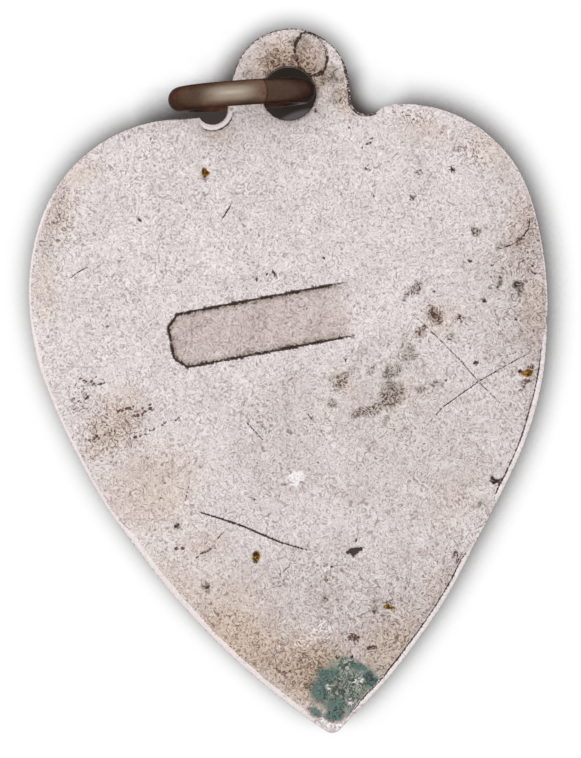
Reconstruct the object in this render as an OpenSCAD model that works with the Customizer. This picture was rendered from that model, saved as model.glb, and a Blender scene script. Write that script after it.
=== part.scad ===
// Heart pendant: a flat back plate with a hanging eye, a domed front with a border, and a jump ring.
// X is to the right as seen from the back, Z is up to the eye, and the back faces -Y.
// The origin is the centre of the eye's hole, halfway through the back plate. Lengths are in mm.

/* [Heart] */
// from the eye-to-tip line to the left side
left_w = 12.6; // [10:0.05:15]
// from the eye-to-tip line to the right side
right_w = 11.25; // [9:0.05:15]
// from the hole's centre down to the tops of the lobes
lobe_drop = 0.82; // [0.7:0.01:1.2]
// from the hole's centre down to the corner that the flanks make before it is rounded
apex_drop = 29.65; // [25:0.05:35]
// rounding of the tip
tip_r = 0.5; // [0.2:0.05:1]
// radius of the left shoulder
left_shoulder_r = 6.85; // [5.5:0.05:8]
// radius of the right shoulder
right_shoulder_r = 6.2; // [5.5:0.05:8]
// how much larger the left side's belly radius is than its shoulder radius
left_belly_more = 3.4; // [2:0.1:8]
// how much larger the right side's belly radius is than its shoulder radius
right_belly_more = 10.9; // [6:0.1:14]
// angle above level where the left shoulder runs into the belly
left_shoulder_end = 23.6; // [10:0.1:35]
// angle above level where the right shoulder runs into the belly
right_shoulder_end = 13.2; // [5:0.1:30]
// angle below level where the left belly runs into the flank
left_belly_end = 15.9; // [10:0.1:30]
// angle below level where the right belly runs into the flank
right_belly_end = 26.3; // [15:0.1:35]

/* [Eye] */
// outer radius of the eye
eye_r = 2.71; // [2.4:0.01:3.2]
// eye's outer circle to the right of the hole's centre
eye_x = 0.13; // [0:0.01:0.2]
// eye's outer circle above the hole's centre
eye_z = 0.28; // [0:0.01:0.4]
// radius of the hole
hole_r = 1.23; // [1.18:0.01:1.3]
// radius of the notch on each side of the eye's neck
notch_r = 0.7; // [0.5:0.01:0.8]
// half the width of the neck between the notches
neck_half_w = 2.85; // [2.7:0.01:3.1]
// from the hole's centre down to the bottom of the notches
notch_drop = 1.19; // [1.05:0.01:1.4]

/* [Layers] */
// thickness of the back plate
plate_t = 0.8; // [0.6:0.01:0.85]
// thickness of the front's sheet
sheet_t = 0.5; // [0.3:0.01:0.6]
// height of the border wire above the front's rim
border_h = 0.9; // [0.8:0.01:1.2]
// width of the border wire
border_w = 0.8; // [0.5:0.01:1]
// how far the front's edge stays inside the back plate's edge
front_inset = 0.15; // [0.05:0.01:0.3]
// width of the front's rim outside the border wire
rim_w = 0.4; // [0.2:0.01:0.6]
// gap between the border wire and the foot of the dome
dome_gap = 0.6; // [0.3:0.01:1]
// height of the dome above the rim
dome_h = 0.7; // [0.4:0.01:0.75]
// from the hole's centre down to the crown of the dome
dome_drop = 12.5; // [11:0.1:14]
// how square the dome is: 2 is a plain bow, and more is steeper at the foot and flatter on top
dome_square = 2.4; // [2:0.1:3]
// from the hole's centre down to the bottom of the front's cleft
cleft_drop = 2.1; // [1.8:0.01:3]

/* [Ring] */
// radius of the ring's wire
wire_r = 0.575; // [0.45:0.005:0.6]
// radius of the ring, to the middle of its wire
ring_r = 2.825; // [2.75:0.005:3]
// from the hole's centre to the ring's centre
ring_reach = 2.14; // [2.1:0.005:2.2]
// from the back plate's back to the ring's centre
ring_rise = 1.2; // [1.1:0.005:1.25]
// width of the cut where the ring's ends meet
ring_cut = 0.08; // [0.04:0.01:0.2]
// angle of the cut round the ring, from the end in the hole towards the back
ring_cut_angle = 69; // [40:1:180]

/* [Hidden] */
$fn = 96;
back_y = -plate_t / 2;
front_y = plate_t / 2;
rim_y = front_y + sheet_t;
border_y = rim_y + border_h;
notch_x = neck_half_w + notch_r;
notch_z = notch_r - notch_drop;
border_inset = front_inset + rim_w;
dome_inset = border_inset + border_w + dome_gap;
dome_centre = [(right_w - left_w) / 2, -dome_drop];
dome_half_w = (left_w + right_w) / 2 - dome_inset;
// the cavity is this much smaller than the dome, so that the sheet keeps its thickness at the foot
cavity_share = 1 - sheet_t / dome_half_w;
// steps up the dome, steps along each of its arcs, and the shortest edge that is drawn
dome_steps = 7;
arc_steps = 9;
least_edge = 0.2;
// the cleft is one arc from notch to notch
cleft_sag = cleft_drop - notch_drop;
cleft_r = (notch_x * notch_x + cleft_sag * cleft_sag) / (2 * cleft_sag);
cleft_z = cleft_r - cleft_drop;
neck_foot = notch_drop + 2 * notch_r;
// how far neighbouring areas of an outline overlap
cap_overlap = 1;
// depth and width of the flats where arcs meet, and depth of the one at a sharp tip
flat_depth = 0.002;
flat_w = 1.2;
tip_flat = 0.03;
// how far a cut runs past the back and the front
cut_reach = 3 * (plate_t + sheet_t + border_h);
// the neck's corners lie just inside the notches, which cut them off
neck_corner = neck_half_w + notch_r / 10;

// unit vector at an angle, and the angle of a vector
function toward(angle) = [cos(angle), sin(angle)];
function angle_of(v) = atan2(v[1], v[0]);
function unit(v) = v / norm(v);
// the corner of the flanks before rounding
apex = [0, -apex_drop];

// one side of the heart as arcs that run into each other: [centre, radius] of shoulder, belly and flank
function side_arcs(w, shoulder_r, belly_more, shoulder_end, belly_end) =
    let (
        belly_r = shoulder_r + belly_more,
        shoulder = [w - belly_r + belly_more * cos(shoulder_end), -lobe_drop - shoulder_r],
        belly = shoulder - belly_more * toward(shoulder_end),
        down = apex - belly,
        out = toward(-belly_end),
        flank_more = (down * down - belly_r * belly_r) / (2 * (belly_r - down * out)),
        flank = belly - flank_more * out
    )
    [[shoulder, shoulder_r], [belly, belly_r], [flank, belly_r + flank_more]];

left_arcs = side_arcs(left_w, left_shoulder_r, left_belly_more, left_shoulder_end, left_belly_end);
right_arcs = side_arcs(right_w, right_shoulder_r, right_belly_more, right_shoulder_end, right_belly_end);

// the point where two circles cross, on the left of the way from a to b
function crossing(a, a_r, b, b_r) =
    let (
        between = b - a,
        gap = norm(between),
        along = (gap * gap + a_r * a_r - b_r * b_r) / (2 * gap),
        rise = sqrt(max(0, a_r * a_r - along * along)),
        step = unit(between)
    )
    a + along * step + rise * [-step[1], step[0]];

// flips a point from one side of the eye-to-tip line to the other
function flipped(p) = [-p[0], p[1]];

// centre of the tip's rounding for an outline moved in by inset
function tip_centre(inset) =
    let (in = max(inset, tip_r))
    crossing(flipped(left_arcs[2][0]), left_arcs[2][1] - in, right_arcs[2][0], right_arcs[2][1] - in);

// points along an arc, without its last one
function arc_points(centre, r, first, last) =
    [for (i = [0 : arc_steps - 1]) centre + r * toward(first + (last - first) * i / arc_steps)];

// the right side of the front's outline, moved in by inset, from the bottom of the cleft to before the tip
function side_points(arcs, shoulder_end, belly_end, inset, tip) =
    let (
        cleft = [0, cleft_z],
        reach = cleft_r + inset,
        shoulder = arcs[0][0],
        shoulder_r = arcs[0][1] - inset,
        top = shoulder[1] + shoulder_r,
        level_x = sqrt(reach * reach - (cleft_z - top) * (cleft_z - top)),
        level = level_x < shoulder[0],
        shore = level ? [level_x, top] : crossing(cleft, reach, shoulder, shoulder_r),
        flank = arcs[2][0]
    )
    concat(
        arc_points(cleft, reach, -90, angle_of(shore - cleft)),
        level && shoulder[0] - level_x > least_edge ? [shore] : [],
        arc_points(shoulder, shoulder_r, level ? 90 : angle_of(shore - shoulder), shoulder_end),
        arc_points(arcs[1][0], arcs[1][1] - inset, shoulder_end, -belly_end),
        arc_points(flank, arcs[2][1] - inset, -belly_end, angle_of(tip - flank))
    );

// the front's whole outline as points, moved in by inset, clockwise from the bottom of the cleft
function front_points(inset) =
    let (
        tip = tip_centre(inset),
        right = side_points(right_arcs, right_shoulder_end, right_belly_end, inset, tip),
        left = side_points(left_arcs, left_shoulder_end, left_belly_end, inset, flipped(tip))
    )
    concat(right, [tip], [for (i = [len(left) - 1 : -1 : 1]) flipped(left[i])]);

// height of the dome above the rim where its outline has shrunk to a share of its foot
function dome_rise(share) =
    dome_h * (1 - pow(share, dome_square)) / (1 - pow(1 / dome_steps, dome_square));

// an area drawn in X and Z, given thickness from one Y to another
module slab(from_y, to_y) {
    translate([0, to_y, 0]) rotate([90, 0, 0]) linear_extrude(height = to_y - from_y) children();
}

// a round disc between two Y values
module disc(centre, r, from_y, to_y) {
    slab(from_y, to_y) translate(centre) circle(r);
}

// the part of a disc outside the chord from a to b, with a triangle inside it that overlaps the rest
module cap(centre, r, a, b, from_y, to_y) {
    middle = (a + b) / 2;
    out = unit(middle - centre) * r;
    back = unit(middle - centre) * cap_overlap;
    slab(from_y, to_y)
    intersection() {
        translate(centre) circle(r);
        polygon([a, middle - back, b, b + out, a + out]);
    }
}

// cuts a shallow flat across the place where two arcs meet, so that their ends leave no sliver
module flat_cut(point, out, depth) {
    angle = atan2(out[1], out[0]);
    slab(-cut_reach, cut_reach)
    translate(point - depth * out) rotate(angle) translate([0, -flat_w / 2]) square(flat_w);
}

// one side of the heart, to the right of the eye-to-tip line
module heart_side(arcs, shoulder_end, belly_end, inset, tip, from_y, to_y) {
    shoulder = arcs[0][0];
    shoulder_r = arcs[0][1] - inset;
    belly = arcs[1][0];
    belly_r = arcs[1][1] - inset;
    flank = arcs[2][0];
    flank_r = arcs[2][1] - inset;
    high = belly + belly_r * toward(shoulder_end);
    low = belly + belly_r * toward(-belly_end);
    foot = (inset < tip_r) ? flank + flank_r * unit(tip - flank) : tip;
    top = shoulder[1] + shoulder_r;
    end = (inset < tip_r) ? [foot, tip] : [tip];
    difference() {
        union() {
            slab(from_y, to_y)
            polygon(concat([[-cap_overlap, shoulder[1]], [-cap_overlap, top], [shoulder[0], top], high, low], end));
            cap(shoulder, shoulder_r, [shoulder[0], top], high, from_y, to_y);
            cap(belly, belly_r, high, low, from_y, to_y);
            cap(flank, flank_r, low, foot, from_y, to_y);
        }
        flat_cut(high, toward(shoulder_end), flat_depth);
        flat_cut(low, toward(-belly_end), flat_depth);
    }
}

// the whole heart, moved in by inset
module heart(inset, from_y, to_y) {
    tip = tip_centre(inset);
    left_out = unit(tip - flipped(left_arcs[2][0]));
    right_out = unit(tip - right_arcs[2][0]);
    rounding = tip_r - inset;
    difference() {
        union() {
            heart_side(right_arcs, right_shoulder_end, right_belly_end, inset, tip, from_y, to_y);
            mirror([1, 0, 0])
            heart_side(left_arcs, left_shoulder_end, left_belly_end, inset, flipped(tip), from_y, to_y);
            if (rounding > 0) {
                cap(tip, rounding, tip + rounding * left_out, tip + rounding * right_out, from_y, to_y);
            }
        }
        if (rounding > 0) {
            flat_cut(tip + rounding * left_out, left_out, flat_depth);
            flat_cut(tip + rounding * right_out, right_out, flat_depth);
        } else {
            flat_cut(tip, [0, -1], tip_flat);
        }
    }
}

// the notches on both sides of the neck, made larger by inset
module notches(inset) {
    for (side = [-1, 1]) {
        disc([side * notch_x, notch_z], notch_r + inset, -cut_reach, cut_reach);
    }
}

// the eye and its neck
module eye(from_y, to_y) {
    disc([eye_x, eye_z], eye_r, from_y, to_y);
    slab(from_y, to_y)
    polygon([
        [eye_x - eye_r, eye_z], [-neck_corner, notch_z], [-notch_x, notch_z], [-notch_x, -neck_foot],
        [notch_x, -neck_foot], [notch_x, notch_z], [neck_corner, notch_z], [eye_x + eye_r, eye_z]
    ]);
}

// the front's outline, moved in by inset
module front_form(inset, from_y, to_y) {
    difference() {
        heart(inset, from_y, to_y);
        notches(inset);
        disc([0, cleft_z], cleft_r + inset, -cut_reach, cut_reach);
    }
}

// the dome as rings of points that shrink towards its crown, on a straight skirt down to base_y
module dome(widest, drop, base_y) {
    outline = front_points(dome_inset);
    count = len(outline);
    shares = [for (i = [0 : dome_steps - 1]) widest * (1 - i / dome_steps)];
    rings = concat([[widest, base_y]], [for (s = shares) [s, rim_y + dome_rise(s) - drop]]);
    points = [
        for (ring = rings) for (p = outline)
        let (q = dome_centre + ring[0] * (p - dome_centre))
        [q[0], ring[1], q[1]]
    ];
    sides = [
        for (k = [0 : dome_steps - 1]) for (i = [0 : count - 1])
        let (low = k * count, high = low + count, j = (i + 1) % count)
        [low + i, high + i, high + j, low + j]
    ];
    base = [for (i = [0 : count - 1]) i];
    crown = [for (i = [count - 1 : -1 : 0]) dome_steps * count + i];
    polyhedron(points, concat([base, crown], sides));
}

module back_plate() {
    color([0.80, 0.77, 0.75])
    difference() {
        union() {
            heart(0, back_y, front_y);
            eye(back_y, front_y);
        }
        notches(0);
        disc([0, 0], hole_r, -cut_reach, cut_reach);
    }
}

module front_shell() {
    color([0.78, 0.76, 0.74])
    difference() {
        union() {
            front_form(front_inset, front_y, rim_y);
            dome(1, 0, rim_y - sheet_t / 2);
        }
        dome(cavity_share, sheet_t, front_y - cap_overlap);
    }
}

module border_wire() {
    color([0.72, 0.70, 0.68])
    difference() {
        front_form(border_inset, rim_y, border_y);
        front_form(border_inset + border_w, rim_y - cap_overlap, border_y + cap_overlap);
    }
}

module jump_ring() {
    color([0.35, 0.27, 0.23])
    translate([-ring_reach, back_y - ring_rise, 0])
    difference() {
        rotate_extrude() translate([ring_r, 0]) circle(wire_r);
        rotate([0, 0, -ring_cut_angle])
        translate([ring_r, 0, 0])
        cube([4 * wire_r, ring_cut, 4 * wire_r], center = true);
    }
}

back_plate();
front_shell();
border_wire();
jump_ring();
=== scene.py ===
# %% [markdown]
# A small silver heart pendant lies on its front, so that its flat and worn back is what we see.
# It is four pieces: a back plate with a hanging eye, a pressed front, a border of twisted wire
# round that front, and a brown jump ring through the eye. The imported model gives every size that
# matters, so the lesson starts by loading it and reading its boxes.

# %% Load the frame
import math
from collections import namedtuple

import bmesh
import bpy
import numpy as np
from mathutils import Matrix, Vector, kdtree, noise


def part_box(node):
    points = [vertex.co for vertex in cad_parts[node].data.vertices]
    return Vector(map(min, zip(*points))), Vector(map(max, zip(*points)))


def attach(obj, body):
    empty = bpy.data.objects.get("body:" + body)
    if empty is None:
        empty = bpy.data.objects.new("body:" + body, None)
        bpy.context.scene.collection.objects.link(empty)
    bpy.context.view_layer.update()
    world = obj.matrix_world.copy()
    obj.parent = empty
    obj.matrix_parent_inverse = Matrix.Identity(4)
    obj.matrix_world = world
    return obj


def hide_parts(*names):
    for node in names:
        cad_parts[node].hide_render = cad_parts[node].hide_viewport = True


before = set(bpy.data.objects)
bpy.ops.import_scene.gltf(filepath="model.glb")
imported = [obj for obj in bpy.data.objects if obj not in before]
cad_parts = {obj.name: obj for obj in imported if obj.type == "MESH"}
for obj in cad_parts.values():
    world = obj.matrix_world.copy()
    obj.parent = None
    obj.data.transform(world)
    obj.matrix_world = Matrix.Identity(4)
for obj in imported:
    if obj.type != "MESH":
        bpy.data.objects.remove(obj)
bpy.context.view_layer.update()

MM = 0.001
plate_low, plate_high = [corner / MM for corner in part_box("back_plate")]
shell_low, shell_high = [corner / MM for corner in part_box("front_shell")]
border_low, border_high = [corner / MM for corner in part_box("border_wire")]
ring_low, ring_high = [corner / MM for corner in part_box("jump_ring")]
back_y = plate_low.y
front_y = plate_high.y
rim_y = border_low.y
border_y = border_high.y
dome_y = shell_high.y

# %% [markdown]
# The camera looks straight at the back from far away through a long lens, because the sides of the
# eye and of the ring hardly show. The photograph is turned a little: the tip points to the right
# of straight down. A helper turns a place in the picture into millimetres on the back plate, and
# the wear marks further down use it.

# %% Camera
picture_w = 581
picture_h = 758
pixels_per_mm = 21.75
hole_pixel = (288.5, 93.2)
lean = math.radians(4.03)
lens_mm = 300
sensor_mm = 36


def on_plate(pixel):
    """The X and Z in mm, from the hole's centre, of a place in the picture."""
    across = (pixel[0] - hole_pixel[0]) / pixels_per_mm
    down = (pixel[1] - hole_pixel[1]) / pixels_per_mm
    x = across * math.cos(lean) - down * math.sin(lean)
    z = -across * math.sin(lean) - down * math.cos(lean)
    return Vector((x, z))


middle = on_plate((picture_w / 2, picture_h / 2))
distance = picture_h / pixels_per_mm * lens_mm / sensor_mm
camera_data = bpy.data.cameras.new("camera")
camera_data.lens = lens_mm
camera_data.sensor_width = sensor_mm
camera_data.clip_start = 0.01
camera = bpy.data.objects.new("camera", camera_data)
bpy.context.scene.collection.objects.link(camera)
camera.matrix_world = Matrix((
    (math.cos(lean), math.sin(lean), 0, middle.x * MM),
    (0, 0, -1, (back_y - distance) * MM),
    (-math.sin(lean), math.cos(lean), 0, middle.y * MM),
    (0, 0, 0, 1),
))
bpy.context.scene.camera = camera
bpy.context.scene.view_settings.view_transform = "Standard"
print("camera is", round(distance), "mm from the back")

# %% [markdown]
# Colours are written as hex values, the way a paint program shows them, and one function turns them
# into the linear numbers that the shader works with. One more function adds a node, sets it up and
# joins it to others, so that each material below reads as a list of what lies over what.

# %% Colours and nodes


def linear(hex_colour):
    """A hex sRGB colour as linear red, green, blue and alpha."""
    shares = [int(hex_colour[place:place + 2], 16) / 255 for place in (1, 3, 5)]
    return [c / 12.92 if c <= 0.04045 else ((c + 0.055) / 1.055) ** 2.4 for c in shares] + [1]


def add(tree, kind, joins, output=0, **settings):
    """Adds a node, sets its properties, joins or sets the inputs that joins names, and gives one output."""
    node = tree.nodes.new(kind)
    for name, value in settings.items():
        setattr(node, name, value)
    for socket, value in joins.items():
        if isinstance(value, bpy.types.NodeSocket):
            tree.links.new(value, node.inputs[socket])
        else:
            node.inputs[socket].default_value = value
    return node.outputs[output] if node.outputs else None


def new_material(name):
    """A material and its empty node tree."""
    material = bpy.data.materials.new(name)
    material.use_nodes = True
    material.node_tree.nodes.clear()
    return material, material.node_tree


print("white is", linear("#FFFFFF")[:3])

# %% [markdown]
# The stage is a plain studio. Its sky is white wherever it is looked at, straight or in the metal, and
# half as bright as a light, so that the pendant isn't washed out. The floor is pale paper, lifted
# towards white for the same rays, and it keeps the pendant's shadow. One function finds those rays.

# %% Sky and floor
floor_drop = 6
floor_reach = 900
paper_lift = 0.42
sky_strength = 0.5
seen_rays = ("Is Camera Ray", "Is Glossy Ray", "Is Transmission Ray")


def seen_share(tree):
    """1 for rays that show the background: those of the camera and those that metal and glass send on."""
    share = 0.0
    for ray in seen_rays:
        is_ray = add(tree, "ShaderNodeLightPath", {}, ray)
        share = add(tree, "ShaderNodeMath", {0: is_ray, 1: share}, operation="MAXIMUM")
    return share


def mesh_object(bm, name, material):
    """Turns a bmesh in mm into an object of the scene, and frees it."""
    bmesh.ops.scale(bm, vec=[MM] * 3, verts=bm.verts)
    mesh = bpy.data.meshes.new(name)
    bm.to_mesh(mesh)
    bm.free()
    mesh.materials.append(material)
    made = bpy.data.objects.new(name, mesh)
    bpy.context.scene.collection.objects.link(made)
    return made


def add_plane(name, material, reach, matrix):
    """A square sheet of the stage, in mm."""
    bm = bmesh.new()
    bmesh.ops.create_grid(bm, x_segments=1, y_segments=1, size=reach, matrix=matrix)
    sheet = mesh_object(bm, name, material)
    return sheet


world = bpy.data.worlds.new("white sky")
bpy.context.scene.world = world
world.use_nodes = True
tree = world.node_tree
tree.nodes.clear()
strength = add(tree, "ShaderNodeMath", {
    0: seen_share(tree), 1: 1 - sky_strength, 2: sky_strength,
}, operation="MULTIPLY_ADD")
sky = add(tree, "ShaderNodeBackground", {"Color": linear("#FFFFFF"), "Strength": strength})
add(tree, "ShaderNodeOutputWorld", {"Surface": sky})

paper, tree = new_material("matt white paper")
lift = add(tree, "ShaderNodeMath", {0: seen_share(tree), 1: paper_lift}, operation="MULTIPLY")
add(tree, "ShaderNodeOutputMaterial", {
    "Surface": add(tree, "ShaderNodeAddShader", {
        0: add(tree, "ShaderNodeBsdfDiffuse", {"Color": linear("#F4F3F1")}),
        1: add(tree, "ShaderNodeEmission", {"Color": linear("#FFFFFF"), "Strength": lift}),
    }),
})
floor_z = plate_low.z - floor_drop
add_plane("floor", paper, floor_reach, Matrix.Translation((0, 0, floor_z)))
print("floor at", round(floor_z, 1), "mm")

# %% [markdown]
# The pendant lies on a white card. The card shows only from its own side and takes part in nothing but
# the picture, so it never hides the front or shades it. It is white where it is open to the sky and
# darker the more of the sky the pendant takes from it, which an Ambient Occlusion node measures. The
# node looks a little downwards and to the left, where most of the light comes from. Under the eye,
# where ring and sheet keep the light out, a soft shade is painted on the card by distance from the hole,
# with two lighter patches painted where some light gets in.

# %% Card
card_reach = 40
card_gap = 0.03
card_below = 2.5
shade_reach = 2.8
shade_samples = 16
shade_range = (0.4, 0.82)
shade_look = Vector((-0.1, -1, -0.2)).normalized()
shade_centre = Vector((0.2, 0, 0.3))
eye_shade = (1.75, 3.95)
hole_shade = (0.9, 2.5)
# Each lit patch: its place in mm, where it starts and ends to fade, and how light it is.
lit_patches = [((4.3, 0, 0.05), (0.4, 1.5), 0.6), ((1.0, 0, -3.55), (2.74, 2.95), 0.07)]

card_paper, tree = new_material("white card, one side")
look = add(tree, "ShaderNodeCombineXYZ", dict(enumerate(shade_look)))
open_share = add(tree, "ShaderNodeAmbientOcclusion", {
    "Distance": shade_reach * MM, "Normal": look,
}, "AO", samples=shade_samples)
lit_share = add(tree, "ShaderNodeMapRange", {
    0: open_share, 1: shade_range[0], 2: shade_range[1],
}, interpolation_type="SMOOTHSTEP")
from_hole = add(tree, "ShaderNodeVectorMath", {
    0: add(tree, "ShaderNodeTexCoord", {}, "Object"), 1: (1 / MM, 0, 1 / MM), 2: -shade_centre,
}, operation="MULTIPLY_ADD")
hole_gap = add(tree, "ShaderNodeVectorMath", {0: from_hole}, "Value", operation="LENGTH")
eye_share = add(tree, "ShaderNodeMapRange", {
    0: hole_gap, 1: eye_shade[0], 2: eye_shade[1],
}, interpolation_type="SMOOTHSTEP")
dark_colour = add(tree, "ShaderNodeMix", {
    0: add(tree, "ShaderNodeMapRange", {0: hole_gap, 1: hole_shade[0], 2: hole_shade[1]}),
    6: linear("#2C2622"), 7: linear("#423A39"),
}, 2, data_type="RGBA")
shaded = add(tree, "ShaderNodeMath", {0: lit_share, 1: eye_share}, operation="MULTIPLY")
for place, (near, far), share in lit_patches:
    spot = Vector(place) - shade_centre
    gap = add(tree, "ShaderNodeVectorMath", {0: from_hole, 1: spot}, "Value", operation="DISTANCE")
    patch = add(tree, "ShaderNodeMapRange", {
        0: gap, 1: near, 2: far, 3: share, 4: 0,
    }, interpolation_type="SMOOTHSTEP")
    shaded = add(tree, "ShaderNodeMix", {0: patch, 2: shaded, 3: 1.0})
paper_colour = add(tree, "ShaderNodeMix", {
    0: shaded, 6: dark_colour, 7: linear("#FFFFFF"),
}, 2, data_type="RGBA")
shown = add(tree, "ShaderNodeMixShader", {
    0: add(tree, "ShaderNodeNewGeometry", {}, "Backfacing"),
    1: add(tree, "ShaderNodeEmission", {"Color": paper_colour}),
    2: add(tree, "ShaderNodeBsdfTransparent", {}),
})
add(tree, "ShaderNodeOutputMaterial", {"Surface": shown})

card_y = border_y + card_gap
card_z = plate_low.z - card_below + card_reach
upright = Matrix.Rotation(math.pi / 2, 4, "X")
card = add_plane("card", card_paper, card_reach, Matrix.Translation((middle.x, card_y, card_z)) @ upright)
card.visible_diffuse = False
card.visible_glossy = False
card.visible_transmission = False
card.visible_shadow = False
print("card at", round(card_y, 2), "mm, with", len(lit_patches), "lit patches")

# %% [markdown]
# Two large soft lamps finish the stage. The key, on the camera's side and to the left, makes the
# highlight on the ring. The fill is on the other side, for the front, and the card lets its light
# through.

# %% Lamps
# Each lamp: its place in mm, its size in mm and its watts.
lamps = {
    "key": ((-50, -165, 25), 90, 0.022),
    "fill": ((60, 190, 60), 90, 0.1),
}

for name, (place, size, watts) in lamps.items():
    lamp_data = bpy.data.lights.new(name, "AREA")
    lamp_data.size = size * MM
    lamp_data.energy = watts
    lamp = bpy.data.objects.new(name, lamp_data)
    lamp.location = Vector(place) * MM
    aim = Vector((middle.x, 0, middle.y)) * MM - lamp.location
    lamp.rotation_euler = aim.to_track_quat("-Z", "Y").to_euler()
    bpy.context.scene.collection.objects.link(lamp)
print("lamps:", list(lamps))

# %% [markdown]
# The heart is drawn as its maker would draw it with a compass: each side is a shoulder, a belly and
# a flank that run into each other, and the two flanks meet in a small round tip. So the outline is a
# few arcs and not a list of points. The same arcs, moved in by an inset, serve the front and its border.

# %% Heart outline
lobe_drop = 0.82
apex = Vector((0, -29.65))
tip_r = 0.5
least_tip_r = 0.05
edge_step = 0.2
eye_r = 2.71
eye_centre = Vector((0.13, 0.28))
hole_r = 1.23
notch_r = 0.7
notch_centre = Vector((3.55, -0.49))
neck_angle = 160
cleft_drop = 2.1
cleft_steps = 40
tip_steps = 8
same_place = edge_step / 20


def toward(degrees):
    """Unit vector at an angle, in X and Z."""
    return Vector((math.cos(math.radians(degrees)), math.sin(math.radians(degrees))))


def angle_of(vector):
    """The angle of a vector in degrees."""
    return math.degrees(math.atan2(vector.y, vector.x))


def side_arcs(width, shoulder_r, belly_more, shoulder_end, belly_end):
    """Centre, radius, first and last angle of the shoulder, belly and flank of one side."""
    belly_r = shoulder_r + belly_more
    shoulder_x = width - belly_r + belly_more * math.cos(math.radians(shoulder_end))
    shoulder = Vector((shoulder_x, -lobe_drop - shoulder_r))
    belly = shoulder - belly_more * toward(shoulder_end)
    down = apex - belly
    flank_more = (down.length_squared - belly_r ** 2) / (2 * (belly_r - down.dot(toward(-belly_end))))
    flank = belly - flank_more * toward(-belly_end)
    return [
        (shoulder, shoulder_r, 90, shoulder_end),
        (belly, belly_r, shoulder_end, -belly_end),
        (flank, belly_r + flank_more, -belly_end, None),
    ]


def lower_crossing(a, a_r, b, b_r):
    """The lower point where two circles cross."""
    between = b - a
    gap = between.length
    along = (gap ** 2 + a_r ** 2 - b_r ** 2) / (2 * gap)
    rise = math.sqrt(max(0, a_r ** 2 - along ** 2))
    step = between / gap
    return a + along * step + rise * Vector((-step.y, step.x))


right_side = side_arcs(plate_high.x, shoulder_r=6.2, belly_more=10.9, shoulder_end=13.2, belly_end=26.3)
left_side = side_arcs(-plate_low.x, shoulder_r=6.85, belly_more=3.4, shoulder_end=23.6, belly_end=15.9)


def turn(centre, radius, start, stop, inset=0):
    """One arc of an outline, with as many steps as it has without its inset."""
    steps = max(2, round(radius * math.radians(abs(stop - start)) / edge_step))
    return centre, radius - inset, start, stop, steps


def heart_turns(inset):
    """The arcs from the right shoulder's top, clockwise round the tip, to the left shoulder's top."""
    rounding = max(tip_r - inset, least_tip_r)
    flank_r, flank_l = right_side[2], left_side[2]
    centre_l = Vector((-flank_l[0].x, flank_l[0].y))
    tip = lower_crossing(centre_l, flank_l[1] - inset - rounding, flank_r[0], flank_r[1] - inset - rounding)
    tip_right = angle_of(tip - flank_r[0])
    tip_left = angle_of(tip - centre_l)
    turns = []
    for centre, radius, start, stop in right_side:
        turns.append(turn(centre, radius, start, tip_right if stop is None else stop, inset))
    turns.append((tip, rounding, tip_right, tip_left, tip_steps))
    for centre, radius, start, stop in reversed(left_side):
        flipped = Vector((-centre.x, centre.y))
        first = tip_left if stop is None else -180 - stop
        turns.append(turn(flipped, radius, first, -180 - start, inset))
    return turns


def plate_turns():
    """The whole outline of the back plate, from the eye's left side."""
    shore = math.degrees(math.asin((notch_centre.y + lobe_drop) / notch_r))
    flipped = Vector((-notch_centre.x, notch_centre.y))
    eye = turn(eye_centre, eye_r, 180, 0)
    right_notch = turn(notch_centre, notch_r, neck_angle, 360 - shore)
    left_notch = turn(flipped, notch_r, shore - 180, 180 - neck_angle)
    return [eye, right_notch] + heart_turns(0) + [left_notch]


def front_turns(inset):
    """The front's outline: one shallow cleft between the lobes, and the heart."""
    sag = cleft_drop - (notch_r - notch_centre.y)
    cleft_r = (notch_centre.x ** 2 + sag ** 2) / (2 * sag)
    cleft_centre = Vector((0, cleft_r - cleft_drop))
    shore_z = -lobe_drop - inset
    half = math.degrees(math.acos((cleft_centre.y - shore_z) / (cleft_r + inset)))
    cleft = (cleft_centre, cleft_r + inset, -90 - half, -90 + half, cleft_steps)
    same_steps = [arc[4] for arc in heart_turns(0)]
    return [cleft] + [(*arc[:4], steps) for arc, steps in zip(heart_turns(inset), same_steps)]


print("flank radii:", [round(side[2][1], 1) for side in (right_side, left_side)], "mm")

# %% [markdown]
# A ring of edges is drawn by spinning one vertex round the centre of each arc in turn. More rings are
# extruded from it, and each vertex hands its number on, so that a ring can be placed point by point.
# The vertices also have room for wear values, which a material can read.

# %% Rings of edges


def draw_ring(bm, turns, y):
    """Draws a closed ring by spinning a vertex round each arc, and returns its vertices in order."""
    before = len(bm.verts)
    pen = None
    for centre, radius, start, stop, steps in turns:
        begin = centre + radius * toward(start)
        place = Vector((begin.x, y, begin.y))
        if pen is None:
            pen = bm.verts.new(place)
        elif (pen.co - place).length > same_place:
            pen = bmesh.ops.extrude_vert_indiv(bm, verts=[pen])["verts"][0]
            pen.co = place
        spun = bmesh.ops.spin(
            bm, geom=[pen], cent=(centre.x, y, centre.y), axis=(0, -1, 0),
            angle=math.radians(stop - start), steps=steps,
        )
        pen = [part for part in spun["geom_last"] if isinstance(part, bmesh.types.BMVert)][0]
    ring = list(bm.verts)[before:]
    if (ring[-1].co - ring[0].co).length > same_place:
        bm.edges.new((ring[-1], ring[0]))
    else:
        bmesh.ops.weld_verts(bm, targetmap={ring[-1]: ring[0]})
        ring.pop()
    return number_ring(bm, ring)


def number_ring(bm, ring):
    """Gives the vertices of a ring their numbers, which extruding hands on."""
    for order, vertex in enumerate(ring):
        vertex[bm.verts.layers.int["step"]] = order
    return ring


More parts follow.
